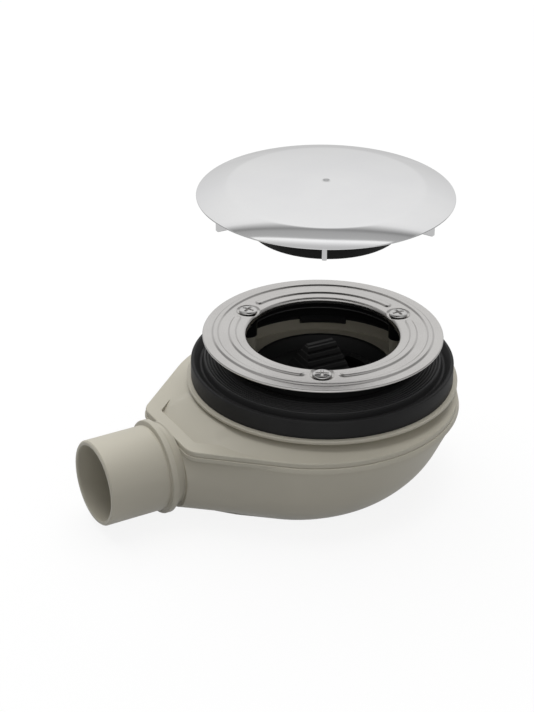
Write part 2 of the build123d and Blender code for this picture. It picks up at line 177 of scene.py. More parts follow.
def addPiece(name, mesh, material, nodes, sharp=35):
    # sharp is the angle past which edges stay hard; 0 leaves the mesh's own normals
    piece = bpy.data.objects.new(name, mesh)
    bpy.context.scene.collection.objects.link(piece)
    if sharp:
        mesh.shade_smooth()
        mesh.set_sharp_from_angle(angle=math.radians(sharp))
    mesh.materials.clear()
    mesh.materials.append(material)
    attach(piece, "root")
    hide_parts(*nodes)
    return piece


# node helpers

def treeNode(tree, kind, **settings):
    node = tree.nodes.new(kind)
    for key, value in settings.items():
        setattr(node, key, value)
    return node


def feed(tree, socket, value):
    # a number is set on the socket, an output is linked to it
    if isinstance(value, (int, float)):
        socket.default_value = value
    else:
        tree.links.new(value, socket)


def mathNode(tree, operation, *values):
    node = treeNode(tree, "ShaderNodeMath", operation=operation)
    for socket, value in zip(node.inputs, values):
        feed(tree, socket, value)
    return node.outputs[0]


def spanNode(tree, value, low, high, fromLow=0.0, fromHigh=1.0):
    span = treeNode(tree, "ShaderNodeMapRange")
    span.inputs["From Min"].default_value = fromLow
    span.inputs["From Max"].default_value = fromHigh
    span.inputs["To Min"].default_value = low
    span.inputs["To Max"].default_value = high
    tree.links.new(value, span.inputs["Value"])
    return span.outputs[0]


# Geometry Nodes for what repeats

def newTree(name, inputs):
    tree = bpy.data.node_groups.new(name, "GeometryNodeTree")
    tree.interface.new_socket("Geometry", in_out="INPUT", socket_type="NodeSocketGeometry")
    for label, kind in inputs:
        tree.interface.new_socket(label, in_out="INPUT", socket_type=kind)
    tree.interface.new_socket("Geometry", in_out="OUTPUT", socket_type="NodeSocketGeometry")
    return tree, tree.nodes.new("NodeGroupInput"), tree.nodes.new("NodeGroupOutput")


def paintResult(tree, geometry, material, result):
    paint = treeNode(tree, "GeometryNodeSetMaterial")
    paint.inputs["Material"].default_value = material
    tree.links.new(geometry, paint.inputs["Geometry"])
    tree.links.new(paint.outputs[0], result.inputs[0])


def ringTree(material):
    # copies of the given mesh turned round the Z axis
    tree, given, result = newTree("ringOfCopies", [
        ("Count", "NodeSocketInt"), ("First Turn", "NodeSocketFloat"),
    ])
    link = tree.links.new
    points = treeNode(tree, "GeometryNodePoints")
    link(given.outputs["Count"], points.inputs["Count"])
    index = treeNode(tree, "GeometryNodeInputIndex")
    step = mathNode(tree, "DIVIDE", 2 * math.pi, given.outputs["Count"])
    turn = mathNode(tree, "MULTIPLY", index.outputs[0], step)
    turn = mathNode(tree, "ADD", turn, given.outputs["First Turn"])
    euler = treeNode(tree, "ShaderNodeCombineXYZ")
    link(turn, euler.inputs["Z"])
    rotation = treeNode(tree, "FunctionNodeEulerToRotation")
    link(euler.outputs[0], rotation.inputs[0])
    copies = treeNode(tree, "GeometryNodeInstanceOnPoints")
    link(points.outputs[0], copies.inputs["Points"])
    link(given.outputs["Geometry"], copies.inputs["Instance"])
    link(rotation.outputs[0], copies.inputs["Rotation"])
    real = treeNode(tree, "GeometryNodeRealizeInstances")
    link(copies.outputs[0], real.inputs[0])
    paintResult(tree, real.outputs[0], material, result)
    return tree


def concentricTree(material):
    # round cords laid as circles, each one pitch inside the last
    tree, given, result = newTree("concentricRibs", [
        ("Count", "NodeSocketInt"), ("Outer Radius", "NodeSocketFloat"), ("Pitch", "NodeSocketFloat"),
        ("Height", "NodeSocketFloat"), ("Cord Radius", "NodeSocketFloat"), ("Steps", "NodeSocketInt"),
        ("Cord Sides", "NodeSocketInt"),
    ])
    link = tree.links.new
    place = treeNode(tree, "ShaderNodeCombineXYZ")
    link(given.outputs["Height"], place.inputs["Z"])
    points = treeNode(tree, "GeometryNodePoints")
    link(given.outputs["Count"], points.inputs["Count"])
    link(place.outputs[0], points.inputs["Position"])
    circle = treeNode(tree, "GeometryNodeCurvePrimitiveCircle")
    link(given.outputs["Steps"], circle.inputs["Resolution"])
    circle.inputs["Radius"].default_value = 1.0    # scaled to each rib's radius below
    index = treeNode(tree, "GeometryNodeInputIndex")
    inset = mathNode(tree, "MULTIPLY", index.outputs[0], given.outputs["Pitch"])
    radius = mathNode(tree, "SUBTRACT", given.outputs["Outer Radius"], inset)
    copies = treeNode(tree, "GeometryNodeInstanceOnPoints")
    link(points.outputs[0], copies.inputs["Points"])
    link(circle.outputs[0], copies.inputs["Instance"])
    link(radius, copies.inputs["Scale"])
    real = treeNode(tree, "GeometryNodeRealizeInstances")
    link(copies.outputs[0], real.inputs[0])
    cord = treeNode(tree, "GeometryNodeCurvePrimitiveCircle")
    link(given.outputs["Cord Sides"], cord.inputs["Resolution"])
    link(given.outputs["Cord Radius"], cord.inputs["Radius"])
    sweep = treeNode(tree, "GeometryNodeCurveToMesh")
    link(real.outputs[0], sweep.inputs["Curve"])
    link(cord.outputs[0], sweep.inputs["Profile Curve"])
    paintResult(tree, sweep.outputs[0], material, result)
    return tree


def growMesh(name, mesh, tree, values):
    # runs a tree on a mesh and hands back the plain result
    holder = bpy.data.objects.new(name + "Holder", mesh)
    bpy.context.scene.collection.objects.link(holder)
    modifier = holder.modifiers.new(name, "NODES")
    modifier.node_group = tree
    for item in tree.interface.items_tree:
        if item.in_out == "INPUT" and item.name in values:
            modifier[item.identifier] = values[item.name]
    graph = bpy.context.evaluated_depsgraph_get()
    grown = bpy.data.meshes.new_from_object(holder.evaluated_get(graph), depsgraph=graph)
    holder.modifiers.remove(modifier)
    bpy.data.objects.remove(holder)
    return cleanMesh(grown)


# materials

def newMaterial(name):
    material = bpy.data.materials.new(name)
    material.use_nodes = True
    tree = material.node_tree
    shader = tree.nodes["Principled BSDF"]
    coords = tree.nodes.new("ShaderNodeTexCoord").outputs["Object"]
    return material, tree, shader, coords


def noiseNode(tree, coords, scale, detail=3.0):
    noise = treeNode(tree, "ShaderNodeTexNoise")
    noise.inputs["Scale"].default_value = scale
    noise.inputs["Detail"].default_value = detail
    tree.links.new(coords, noise.inputs["Vector"])
    return noise.outputs["Fac"]


def rampNode(tree, value, dark, light, low=0.3, high=0.7):
    ramp = treeNode(tree, "ShaderNodeValToRGB")
    ramp.color_ramp.elements[0].position = low
    ramp.color_ramp.elements[1].position = high
    ramp.color_ramp.elements[0].color = (*dark, 1)
    ramp.color_ramp.elements[1].color = (*light, 1)
    tree.links.new(value, ramp.inputs[0])
    return ramp.outputs[0]


def addBump(tree, shader, height, strength, depth):
    bump = treeNode(tree, "ShaderNodeBump")
    bump.inputs["Strength"].default_value = strength
    bump.inputs["Distance"].default_value = depth
    tree.links.new(height, bump.inputs["Height"])
    tree.links.new(bump.outputs[0], shader.inputs["Normal"])


def mouldedFinish(name, dark, light, patch, grain, roughness, bump, specular, grainDepth=0.02 * mm):
    # moulded plastic or rubber: cloudy colour, fine grain
    material, tree, shader, coords = newMaterial(name)
    shader.inputs["Specular IOR Level"].default_value = specular
    clouds = noiseNode(tree, coords, patch)
    tree.links.new(rampNode(tree, clouds, dark, light), shader.inputs["Base Color"])
    grains = noiseNode(tree, coords, grain, detail=2.0)
    tree.links.new(spanNode(tree, grains, *roughness), shader.inputs["Roughness"])
    addBump(tree, shader, grains, bump, grainDepth)
    return material


platedLook = {
    "dark": (0.83, 0.83, 0.84),
    "light": (0.87, 0.87, 0.87),
    "haze": 28.0,
    "smear": 90.0,
    "smearDetail": 4.0,
    "roughness": (0.03, 0.06),
    "wave": 60.0,
    "waveDetail": 1.0,
    "waveBump": 0.02,
    "waveDepth": 0.05 * mm,
}


def platedFinish(name):
    # bright plating: faint haze, smears and waves
    s = platedLook
    material, tree, shader, coords = newMaterial(name)
    shader.inputs["Metallic"].default_value = 1.0
    haze = noiseNode(tree, coords, s["haze"])
    tree.links.new(rampNode(tree, haze, s["dark"], s["light"]), shader.inputs["Base Color"])
    smear = noiseNode(tree, coords, s["smear"], s["smearDetail"])
    tree.links.new(spanNode(tree, smear, *s["roughness"]), shader.inputs["Roughness"])
    waves = noiseNode(tree, coords, s["wave"], s["waveDetail"])
    addBump(tree, shader, waves, s["waveBump"], s["waveDepth"])
    return material


def brushedFinish(name, dark, light, roughness, bump, patch=45.0, brush=2600.0, brushDepth=0.03 * mm):
    # concentric brush marks: noise read along the distance from the axis
    material, tree, shader, coords = newMaterial(name)
    shader.inputs["Metallic"].default_value = 1.0
    flat = treeNode(tree, "ShaderNodeVectorMath", operation="MULTIPLY")
    flat.inputs[1].default_value = (1, 1, 0)
    tree.links.new(coords, flat.inputs[0])
    length = treeNode(tree, "ShaderNodeVectorMath", operation="LENGTH")
    tree.links.new(flat.outputs[0], length.inputs[0])
    spread = treeNode(tree, "ShaderNodeCombineXYZ")
    tree.links.new(length.outputs["Value"], spread.inputs["X"])
    lines = noiseNode(tree, spread.outputs[0], brush)
    clouds = noiseNode(tree, coords, patch)
    tree.links.new(rampNode(tree, clouds, dark, light), shader.inputs["Base Color"])
    tree.links.new(spanNode(tree, lines, *roughness), shader.inputs["Roughness"])
    addBump(tree, shader, lines, bump, brushDepth)
    return material


bodyPlastic = mouldedFinish(
    "bodyPlastic", dark=(0.50, 0.472, 0.394), light=(0.54, 0.509, 0.424),
    patch=18.0, grain=1900.0, roughness=(0.34, 0.44), bump=0.10, specular=0.5)
blackPlastic = mouldedFinish(
    "blackPlastic", dark=(0.007, 0.007, 0.007), light=(0.011, 0.011, 0.011),
    patch=30.0, grain=1500.0, roughness=(0.34, 0.46), bump=0.10, specular=0.15)
# a lighter, glossier copy of the black plastic: painted highlight along the sleeve's step
stepHighlightPlastic = mouldedFinish(
    "stepHighlightPlastic", dark=(0.012, 0.012, 0.012), light=(0.016, 0.016, 0.016),
    patch=30.0, grain=1500.0, roughness=(0.30, 0.38), bump=0.05, specular=0.9)
blackRubber = mouldedFinish(
    "blackRubber", dark=(0.021, 0.021, 0.0215), light=(0.027, 0.027, 0.0275),
    patch=40.0, grain=1200.0, roughness=(0.44, 0.54), bump=0.15, specular=0.15)
# a lighter copy of the black rubber for the ribs: painted sheen on the rib tops
ribRubberPaintedSheen = mouldedFinish(
    "ribRubberPaintedSheen", dark=(0.043, 0.043, 0.044), light=(0.052, 0.052, 0.053),
    patch=40.0, grain=1200.0, roughness=(0.38, 0.48), bump=0.10, specular=0.25)
platedChrome = platedFinish("platedChrome")
brushedSteel = brushedFinish(
    "brushedSteel", dark=(0.60, 0.585, 0.57), light=(0.65, 0.635, 0.62), roughness=(0.18, 0.27), bump=0.10)
screwSteel = brushedFinish(
    "screwSteel", dark=(0.60, 0.59, 0.58), light=(0.68, 0.67, 0.66), roughness=(0.10, 0.18), bump=0.05)
print("materials ready")


# cover: a plated dome with a ring of fins under it

coverShape = {
    "rimGap": 7.15 * mm,         # from the fins' feet up to the rim
    "shoulderRadius": 45.5 * mm,
    "shoulderRise": 4.2 * mm,
    "shoulderEase": 0.05 * mm,
    "wall": 1.6 * mm,
    "rimRoll": 0.32 * mm,
    "rollStart": 60,             # degrees
    "rollSweep": 150,
    "rollSteps": 8,
    "rollInset": 0.5,            # shares of rimRoll
    "rollDrop": 0.87,
    "rollStretch": 1.5,
    "dimpleRadius": 2.4 * mm,
    "dimpleDepth": 1.0 * mm,
    "middleEnd": 3.0 * mm,       # rings lie closer round the dimple
    "middleRings": 16,
    "domeStart": 3.4 * mm,
    "domeRings": 110,
    "steps": 360,
    "finThickness": 2.2 * mm,
    "finOuter": 55.9 * mm,
    "finInner": 36.0 * mm,
    "finStations": 14,
    "finBevel": 0.35 * mm,
    "finCount": 6,
    "finTurn": math.radians(-1.7),
}


def domeHeight(r, radius, crown):
    s = coverShape
    inner = crown - (crown - s["shoulderRise"]) * (r / s["shoulderRadius"]) ** 2
    outer = s["shoulderRise"] * (radius ** 2 - r ** 2) / (radius ** 2 - s["shoulderRadius"] ** 2)
    # the lower of the two, eased where they cross
    return -s["shoulderEase"] * np.logaddexp(-inner / s["shoulderEase"], -outer / s["shoulderEase"])


def makeDome(radius, rimZ, crown):
    s = coverShape
    middle = np.linspace(0, s["middleEnd"], s["middleRings"])
    r = np.concatenate([middle, np.linspace(s["domeStart"], radius - s["rimRoll"], s["domeRings"])])
    pit = np.clip(r / s["dimpleRadius"], 0, 1)
    top = rimZ + domeHeight(r, radius, crown) - s["dimpleDepth"] * (1 - pit ** 2) ** 2
    outside = list(zip(r, top))
    inside = [(x, z - s["wall"]) for x, z in outside if x < radius - s["wall"]][::-1]
    edgeR, edgeZ = outside[-1]
    roll = []
    for k in range(1, s["rollSteps"] + 1):
        a = math.radians(s["rollStart"] - s["rollSweep"] * k / s["rollSteps"])
        roll.append((edgeR + s["rimRoll"] * (s["rollStretch"] * math.cos(a) - s["rollInset"]),
                     edgeZ + s["rimRoll"] * (math.sin(a) - s["rollDrop"])))
    mesh = lathe("coverDome", outside + roll + inside, s["steps"])
    addPiece("coverDome", mesh, platedChrome, ["cover"], sharp=50)


def makeFins(footZ, radius, rimZ, crown):
    # one fin standing on +X, then the ring of them
    s = coverShape
    half = s["finThickness"] / 2
    finR = np.linspace(s["finInner"], s["finOuter"], s["finStations"])
    finTop = rimZ + domeHeight(finR, radius, crown) - s["wall"] / 2
    outline = [(finR[0], footZ), (finR[-1], footZ)] + list(zip(finR[::-1], finTop[::-1]))
    bm = bmesh.new()
    sides = [[bm.verts.new((x, y, z)) for x, z in outline] for y in (-half, half)]
    bm.faces.new(sides[0])
    bm.faces.new(sides[1][::-1])
    for i in range(len(outline)):
        j = (i + 1) % len(outline)
        bm.faces.new((sides[0][j], sides[0][i], sides[1][i], sides[1][j]))
    footEdges = [edge for edge in bm.edges if any(abs(vert.co.z - footZ) < 1e-7 for vert in edge.verts)]
    bmesh.ops.bevel(bm, geom=footEdges, offset=s["finBevel"], segments=3, profile=0.5, affect="EDGES")
    fin = bpy.data.meshes.new("coverFin")
    bm.to_mesh(fin)
    bm.free()
    fins = growMesh("coverFins", fin, ringTree(platedChrome), {
        "Count": s["finCount"], "First Turn": s["finTurn"]})
    addPiece("coverFins", fins, platedChrome, ["cover"])


def makeCover():
    low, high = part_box("cover")
    rimZ = low.z + coverShape["rimGap"]
    makeDome(high.x, rimZ, high.z - rimZ)
    makeFins(low.z, high.x, rimZ, high.z - rimZ)


# plug ring: black, drops into the flange's hole

plugShape = {
    "wall": 2.0 * mm,
    "taper": 0.5 * mm,
    "taperRise": 3.0 * mm,
    "taperRound": 2.0 * mm,
    "lowRound": 0.5 * mm,
    "topRound": 0.4 * mm,
}


def makePlugRing():
    s = plugShape
    low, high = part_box("plug_ring")
    outer, inner = high.x, high.x - s["wall"]
    profile = roundedProfile([
        (inner, low.z, s["lowRound"]), (outer - s["taper"], low.z, s["lowRound"]),
        (outer, low.z + s["taperRise"], s["taperRound"]), (outer, high.z, s["topRound"]),
        (inner, high.z, s["topRound"]),
    ])
    addPiece("plugRing", lathe("plugRing", profile), blackPlastic, ["plug_ring"])


makeCover()
makePlugRing()
print("cover ready")


# clamping flange: pressed sheet with raised beads and a rolled inner edge

flangeShape = {
    "solidBead": 0.55 * mm,      # the solid's beads stand this far above its flat
    "hole": 36.25 * mm,
    "sheet": 1.2 * mm,
    "drop": 2.8 * mm,
    "innerRoll": 1.6 * mm,
    "innerBend": 0.9 * mm,
    "edgeRound": 0.45 * mm,
    "bendSteps": 8,
    "steps": 640,
    "rings": 124,
    "crown": 0.12 * mm,
    "crownInner": 3.0 * mm,
    "crownOuter": 7.0 * mm,
    "beadHeight": 0.7 * mm,
    "beadSide": 1.3 * mm,
    "ringBead": 50.9 * mm,
    "ringHalf": 1.95 * mm,
    "arcBead": 42.8 * mm,
    "arcHalf": 2.3 * mm,
    "arcClear": math.radians(13.5),
    "dimpleRadius": 6.2 * mm,
    "dimpleFloor": 4.9 * mm,
    "dimpleDepth": 0.7 * mm,
    "screwRadius": 41.7 * mm,
    "screwTurn": math.radians(-1.5),
    "screwCount": 3,
}


def beadLift(distance, half):
    s = flangeShape
    return s["beadHeight"] * smoothStep(np.clip((half - np.abs(distance)) / s["beadSide"], 0, 1))


def flangeLift(r, turn):
    s = flangeShape
    pitch = 2 * math.pi / s["screwCount"]
    local = (turn - s["screwTurn"]) % pitch
    local = np.minimum(local, pitch - local)    # angle to the nearest screw
    inner = s["hole"] + s["innerRoll"]
    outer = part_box("clamping_flange")[1].x - s["edgeRound"]
    share = np.clip(np.minimum((r - inner) / s["crownInner"], (outer - r) / s["crownOuter"]), 0, 1)
    lift = s["crown"] * smoothStep(share) + beadLift(r - s["ringBead"], s["ringHalf"])
    # the arc beads end round, clear of the screws
    short = np.clip(s["arcClear"] - local, 0, None) * s["arcBead"]
    lift = lift + beadLift(np.hypot(r - s["arcBead"], short), s["arcHalf"])
    away = np.sqrt(r ** 2 + s["screwRadius"] ** 2 - 2 * r * s["screwRadius"] * np.cos(local))
    share = np.clip((s["dimpleRadius"] - away) / (s["dimpleRadius"] - s["dimpleFloor"]), 0, 1)
    return lift - s["dimpleDepth"] * smoothStep(share)


def makeFlange():
    s = flangeShape
    steps, bends = s["steps"], s["bendSteps"]
    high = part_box("clamping_flange")[1]
    topZ = high.z - s["solidBead"]
    flat = np.linspace(s["hole"] + s["innerRoll"], high.x - s["edgeRound"], s["rings"])
    edgeTurn = np.radians(90 - 180 * np.arange(1, bends + 1) / bends)
    edge = [(high.x - s["edgeRound"] * (1 - math.cos(a)), topZ - s["sheet"] / 2 * (1 - math.sin(a)))
            for a in edgeTurn]
    under = [(s["hole"] + s["innerRoll"] + s["sheet"], topZ - s["sheet"]),
             (s["hole"] + s["sheet"], topZ - s["sheet"] - s["innerBend"]),
             (s["hole"] + s["sheet"], topZ - s["drop"]), (s["hole"], topZ - s["drop"])]
    rollTurn = np.radians(90 * np.arange(bends, 0, -1) / bends)
    roll = [(s["hole"] + s["innerRoll"] * (1 - math.sin(a)), topZ - s["innerRoll"] * (1 - math.cos(a)))
            for a in rollTurn]
    profile = np.array([(x, topZ) for x in flat] + edge + under + roll)
    turn = np.linspace(0, 2 * math.pi, steps, endpoint=False)[:, None]
    r = np.broadcast_to(profile[:, 0], (steps, len(profile)))
    z = np.broadcast_to(profile[:, 1], r.shape).copy()
    z[:, :len(flat)] += flangeLift(r[:, :len(flat)], turn)
    z[:, -bends:] += flangeLift(r[:, -bends:], turn) * np.cos(rollTurn)    # the roll sinks with the dimples
    mesh = gridMesh("clampingFlange", np.stack([np.cos(turn) * r, np.sin(turn) * r, z], axis=-1))
    addPiece("clampingFlange", mesh, brushedSteel, ["clamping_flange"], sharp=60)


makeFlange()
print("flange ready")


# flange screws: pan heads with a cross recess

screwShape = {
    "headRadius": 4.5 * mm,
    "headHeight": 1.25 * mm,
    "headPower": 2.4,            # 2 gives a round dome, more a flatter one
    "seatDrop": 1.3 * mm,
    "edge": 0.3 * mm,
    "shankRadius": 1.9 * mm,
    "pointLength": 3.8 * mm,
    "recessReach": 3.0 * mm,
    "recessWidth": 0.6 * mm,
    "recessDepth": 1.1 * mm,
    "recessEase": 0.1 * mm,
    "recessEnd": 0.6 * mm,
    "steps": 144,
    "rings": 44,
}


def makeScrews():
    s, place = screwShape, flangeShape
    low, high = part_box("flange_screws")
    seatZ = high.z - s["seatDrop"]
    r = np.linspace(0, s["headRadius"], s["rings"])
    bulge = np.sqrt(np.clip(1 - (r / s["headRadius"]) ** s["headPower"], 0, 1))
    dome = s["edge"] + (s["headHeight"] - s["edge"]) * bulge
    turn = np.linspace(0, 2 * math.pi, s["steps"], endpoint=False)[:, None]
    x, y = r * np.cos(turn), r * np.sin(turn)
    cross = np.minimum(np.abs(x), np.abs(y))
    reach = np.maximum(np.abs(x), np.abs(y))
    wall = np.clip((s["recessWidth"] + s["recessEase"] - cross) / (2 * s["recessEase"]), 0, 1)
    end = np.clip((s["recessReach"] - reach) / s["recessEnd"], 0, 1)
    z = seatZ + np.broadcast_to(dome, x.shape) - s["recessDepth"] * wall * end
    head = np.stack([x, y, z], axis=-1)
    below = [(s["headRadius"], seatZ), (s["shankRadius"], seatZ),
             (s["shankRadius"], low.z + s["pointLength"]), (0.0, low.z)]
    skirt = np.array([[(q * math.cos(a), q * math.sin(a), h) for q, h in below] for a in turn[:, 0]])
    points = np.concatenate([head, skirt], axis=1)
    points[..., 0] += place["screwRadius"]
    screw = gridMesh("flangeScrew", points, closeAlong=False)
    screws = growMesh("flangeScrews", screw, ringTree(screwSteel), {
        "Count": place["screwCount"], "First Turn": place["screwTurn"]})
    addPiece("flangeScrews", screws, screwSteel, ["flange_screws"])


makeScrews()
print("screws ready")


# tray seal: black rubber ring with fine ribs on its land and tabs between the screws

sealShape = {
    "footRound": 0.4 * mm,
    "rimZ": 57.9 * mm,
    "rimInner": 61.0 * mm,
    "shoulderRound": 1.7 * mm,
    "dishRound": 0.8 * mm,
    "grooveOuter": 58.3 * mm,
    "grooveInner": 56.4 * mm,
    "grooveWall": 0.8 * mm,
    "grooveZ": 55.4 * mm,
    "grooveRound": 0.5 * mm,
    "landZ": 58.3 * mm,
    "landInner": 47.4 * mm,
    "stepZ": 54.2 * mm,
    "stepInner": 50.6 * mm,
    "lipZ": 59.9 * mm,
    "lipWidth": 1.3 * mm,
    "lipLean": 0.2 * mm,
    "lipInner": 44.95 * mm,
    "lipEdge": 0.9 * mm,
    "lipRoot": 1.2 * mm,
    "lipFootRound": 0.3 * mm,
    "lipTopRound": 0.4 * mm,
    "lipEdgeRound": 0.2 * mm,
    "steps": 360,
    "ribCount": 6,
    "ribPitch": 1.42 * mm,
    "ribRadius": 0.5 * mm,
    "ribRise": 0.1 * mm,
    "ribSides": 10,
    "tabLowZ": 52.5 * mm,
    "tabInner": 45.9 * mm,
    "tabOuter": 47.45 * mm,
    "tabInnerRound": 0.4 * mm,
    "tabOuterRound": 0.3 * mm,
    "tabHalf": math.radians(14),
    "tabStations": 29,
    "tabCount": 3,
}


def makeSeal():
    s = sealShape
    low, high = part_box("tray_seal")
    lipOuter = s["landInner"] + s["lipWidth"]
    profile = roundedProfile([
        (s["stepInner"], low.z, 0), (high.x, low.z, s["footRound"]),
        (high.x, s["rimZ"], s["shoulderRound"]), (s["rimInner"], s["rimZ"], s["dishRound"]),
        (s["grooveOuter"], s["grooveZ"], s["dishRound"]),
        (s["grooveInner"] + s["grooveWall"], s["grooveZ"], s["grooveRound"]),
        (s["grooveInner"], s["landZ"], s["dishRound"]), (lipOuter, s["landZ"], s["lipFootRound"]),
        (lipOuter - s["lipLean"], s["lipZ"], s["lipTopRound"]), (s["lipInner"], s["lipZ"], s["lipEdgeRound"]),
        (s["lipInner"], s["lipZ"] - s["lipEdge"], s["lipEdgeRound"]),
        (s["landInner"], s["lipZ"] - s["lipRoot"], s["lipFootRound"]),
        (s["landInner"], s["stepZ"], 0), (s["stepInner"], s["stepZ"], 0),
    ])
    mesh = lathe("traySeal", profile, s["steps"])
    addPiece("traySeal", mesh, blackRubber, ["tray_seal"])


def makeSealRibs():
    s = sealShape
    seed = bpy.data.meshes.new("sealRibSeed")
    # the ribs wear the lighter rubber copy, painted sheen on their tops
    ribs = growMesh("sealRibs", seed, concentricTree(ribRubberPaintedSheen), {
        "Count": s["ribCount"], "Outer Radius": s["grooveInner"] - s["ribPitch"] / 2, "Pitch": s["ribPitch"],
        "Height": s["landZ"] + s["ribRise"], "Cord Radius": s["ribRadius"], "Steps": s["steps"],
        "Cord Sides": s["ribSides"]})
    addPiece("sealRibs", ribs, ribRubberPaintedSheen, ["tray_seal"])


def makeSealTabs():
    # a curved tab on +X, then the ring of them between the screws
    s = sealShape
    section = roundedProfile([
        (s["tabInner"], s["tabLowZ"], s["tabInnerRound"]), (s["tabOuter"], s["tabLowZ"], s["tabOuterRound"]),
        (s["tabOuter"], s["landZ"], s["tabOuterRound"]), (s["tabInner"], s["landZ"], s["tabInnerRound"]),
    ], steps=4)
    tab = arcSolid("sealTab", section, s["tabHalf"], s["tabStations"])
    turn = flangeShape["screwTurn"] + math.pi / s["tabCount"]
    tabs = growMesh("sealTabs", tab, ringTree(blackRubber), {"Count": s["tabCount"], "First Turn": turn})
    addPiece("sealTabs", tabs, blackRubber, ["tray_seal"])


makeSeal()
makeSealRibs()
makeSealTabs()
print("seal ready")


# outlet spigot: turned round its own axis, on the bowl's solid cut short behind the bead

spigotShape = {
    "axisZ": 23.5 * mm,
    "cutX": -85.05 * mm,
    "reach": 121.4 * mm,
    "radius": 20.2 * mm,
    "bore": 17.9 * mm,
    "boreFlare": 0.2 * mm,
    "boreRun": 1.0 * mm,
    "chamfer": 0.8 * mm,
    "endRound": 0.3 * mm,
    "pipeRound": 0.4 * mm,
    "boreRound": 0.5 * mm,
    "beadRadius": 22.3 * mm,
    "beadFront": 91.7 * mm,
    "beadBack": 88.6 * mm,
    "beadLean": 0.3 * mm,
    "beadFrontRound": 0.6 * mm,
    "beadBackRound": 0.5 * mm,
    "grooveDepth": 0.35 * mm,
    "grooveRun": 0.7 * mm,
    "grooveRound": 0.3 * mm,
    "neckRadius": 19.9 * mm,
    "neckFlare": 0.25 * mm,
    "neckRun": 0.8 * mm,
    "neckRound": 0.6 * mm,
    "steps": 240,
}


def makeSpigot():
    s = spigotShape
    # profile as (distance from the spigot's axis, distance along -X)
    profile = roundedProfile([
        (s["bore"], -s["cutX"], 0), (s["neckRadius"], -s["cutX"], 0),
        (s["neckRadius"] + s["neckFlare"], s["beadBack"] - s["neckRun"], s["neckRound"]),
        (s["beadRadius"], s["beadBack"], s["beadBackRound"]),
        (s["beadRadius"], s["beadFront"] - s["beadLean"], s["beadFrontRound"]),
        (s["radius"] - s["grooveDepth"], s["beadFront"], s["grooveRound"]),
        (s["radius"], s["beadFront"] + s["grooveRun"], s["pipeRound"]),
        (s["radius"], s["reach"] - s["chamfer"], s["pipeRound"]),
        (s["radius"] - s["chamfer"], s["reach"], s["endRound"]),
        (s["bore"] + s["boreFlare"], s["reach"], s["endRound"]),
        (s["bore"], s["reach"] - s["boreRun"], s["boreRound"]),
    ])
    mesh = lathe("outletSpigot", profile, s["steps"])
    layDown = Matrix.Rotation(math.radians(-90), 4, "Y")
    mesh.transform(Matrix.Translation((0, 0, s["axisZ"])) @ layDown)
    addPiece("outletSpigot", mesh, bodyPlastic, ["lower_shell"], sharp=40)


# rim band: the drafted edge of the bowl's rim, left out towards the nose

rimBand = {
    "centreX": -5.0 * mm,
    "outerLow": 70.15 * mm,
    "outerHigh": 69.66 * mm,
    "inner": 67.4 * mm,
    "lowZ": 36.35 * mm,
    "highZ": 38.68 * mm,
    "lowRound": 0.2 * mm,
    "highRound": 0.1 * mm,
    "half": math.radians(140),
    "stations": 241,
}


def makeRimBand():
    s = rimBand
    section = roundedProfile([
        (s["inner"], s["lowZ"], 0), (s["outerLow"], s["lowZ"], s["lowRound"]),
        (s["outerHigh"], s["highZ"], s["highRound"]), (s["inner"], s["highZ"], 0),
    ], steps=4)
    mesh = arcSolid("rimBand", section, s["half"], s["stations"], s["centreX"])
    addPiece("rimBand", mesh, bodyPlastic, ["lower_shell"], sharp=50)


def cutSpigot(bm):
    everything = bm.verts[:] + bm.edges[:] + bm.faces[:]
    bmesh.ops.bisect_plane(bm, geom=everything, dist=1e-7, plane_co=(spigotShape["cutX"], 0, 0),
                           plane_no=(-1, 0, 0), clear_outer=True)
    bmesh.ops.bridge_loops(bm, edges=[edge for edge in bm.edges if edge.is_boundary])


def makeBowl():
    mesh = solidCopy("lower_shell", "lowerShell", cutSpigot)
    addPiece("lowerShell", mesh, bodyPlastic, ["lower_shell"], sharp=0)


makeSpigot()
makeRimBand()
makeBowl()
print("bowl ready")


# upper shell: the solid, with its cone hollowed into a soft flare and its pocket's floor bulged

flareShape = {
    "centreX": -5.0 * mm,
    "neckRadius": 60.0 * mm,
    "innerLimit": 54.0 * mm,
    "edge": 68.5 * mm,
    "edgeMargin": 0.1 * mm,
    "pocketEdge": 73.0 * mm,
    "pocketMargin": 0.2 * mm,
    "pocketTurn": math.radians(21),
    "pocketEase": math.radians(6),
    "slope": 0.42,
    "slopeMatch": 0.9995,        # cosine between a face and the cone
    "hollow": 0.05,
    "pocketHollow": -0.025,
    "longEdge": 0.8 * mm,
    "cuts": 8,
    "probe": 0.01 * mm,
}


def flareSag(x, y):
    s = flareShape
    away = math.hypot(x - s["centreX"], y)
    towards = s["centreX"] * (x - s["centreX"]) / away
    neck = math.sqrt(towards ** 2 - s["centreX"] ** 2 + s["neckRadius"] ** 2) - towards
    ease = (s["pocketTurn"] - abs(math.atan2(y, s["centreX"] - x))) / s["pocketEase"]
    ease = smoothStep(min(max(ease, 0.0), 1.0))
    edge = s["edge"] + (s["pocketEdge"] - s["edge"]) * ease
    hollow = s["hollow"] + (s["pocketHollow"] - s["hollow"]) * ease
    share = min(max((edge - away) / (edge - neck), 0.0), 1.0)
    return 4 * hollow * (edge - neck) * share * (1 - share)


def onFlare(face):
    s = flareShape
    middle = face.calc_center_median()
    out = Vector((middle.x - s["centreX"], middle.y, 0))
    if not s["innerLimit"] <= out.length <= s["pocketEdge"] + s["pocketMargin"]:
        return False
    normal = (out.normalized() * s["slope"] + Vector((0, 0, 1))).normalized()
    return face.normal.dot(normal) > s["slopeMatch"]


def runsOut(edge):
    # a long edge up the cone, which needs stations to bend
    s = flareShape
    near, far = sorted(math.hypot(vert.co.x - s["centreX"], vert.co.y) for vert in edge.verts)
    return far - near > s["longEdge"] and near < s["edge"] - s["edgeMargin"]


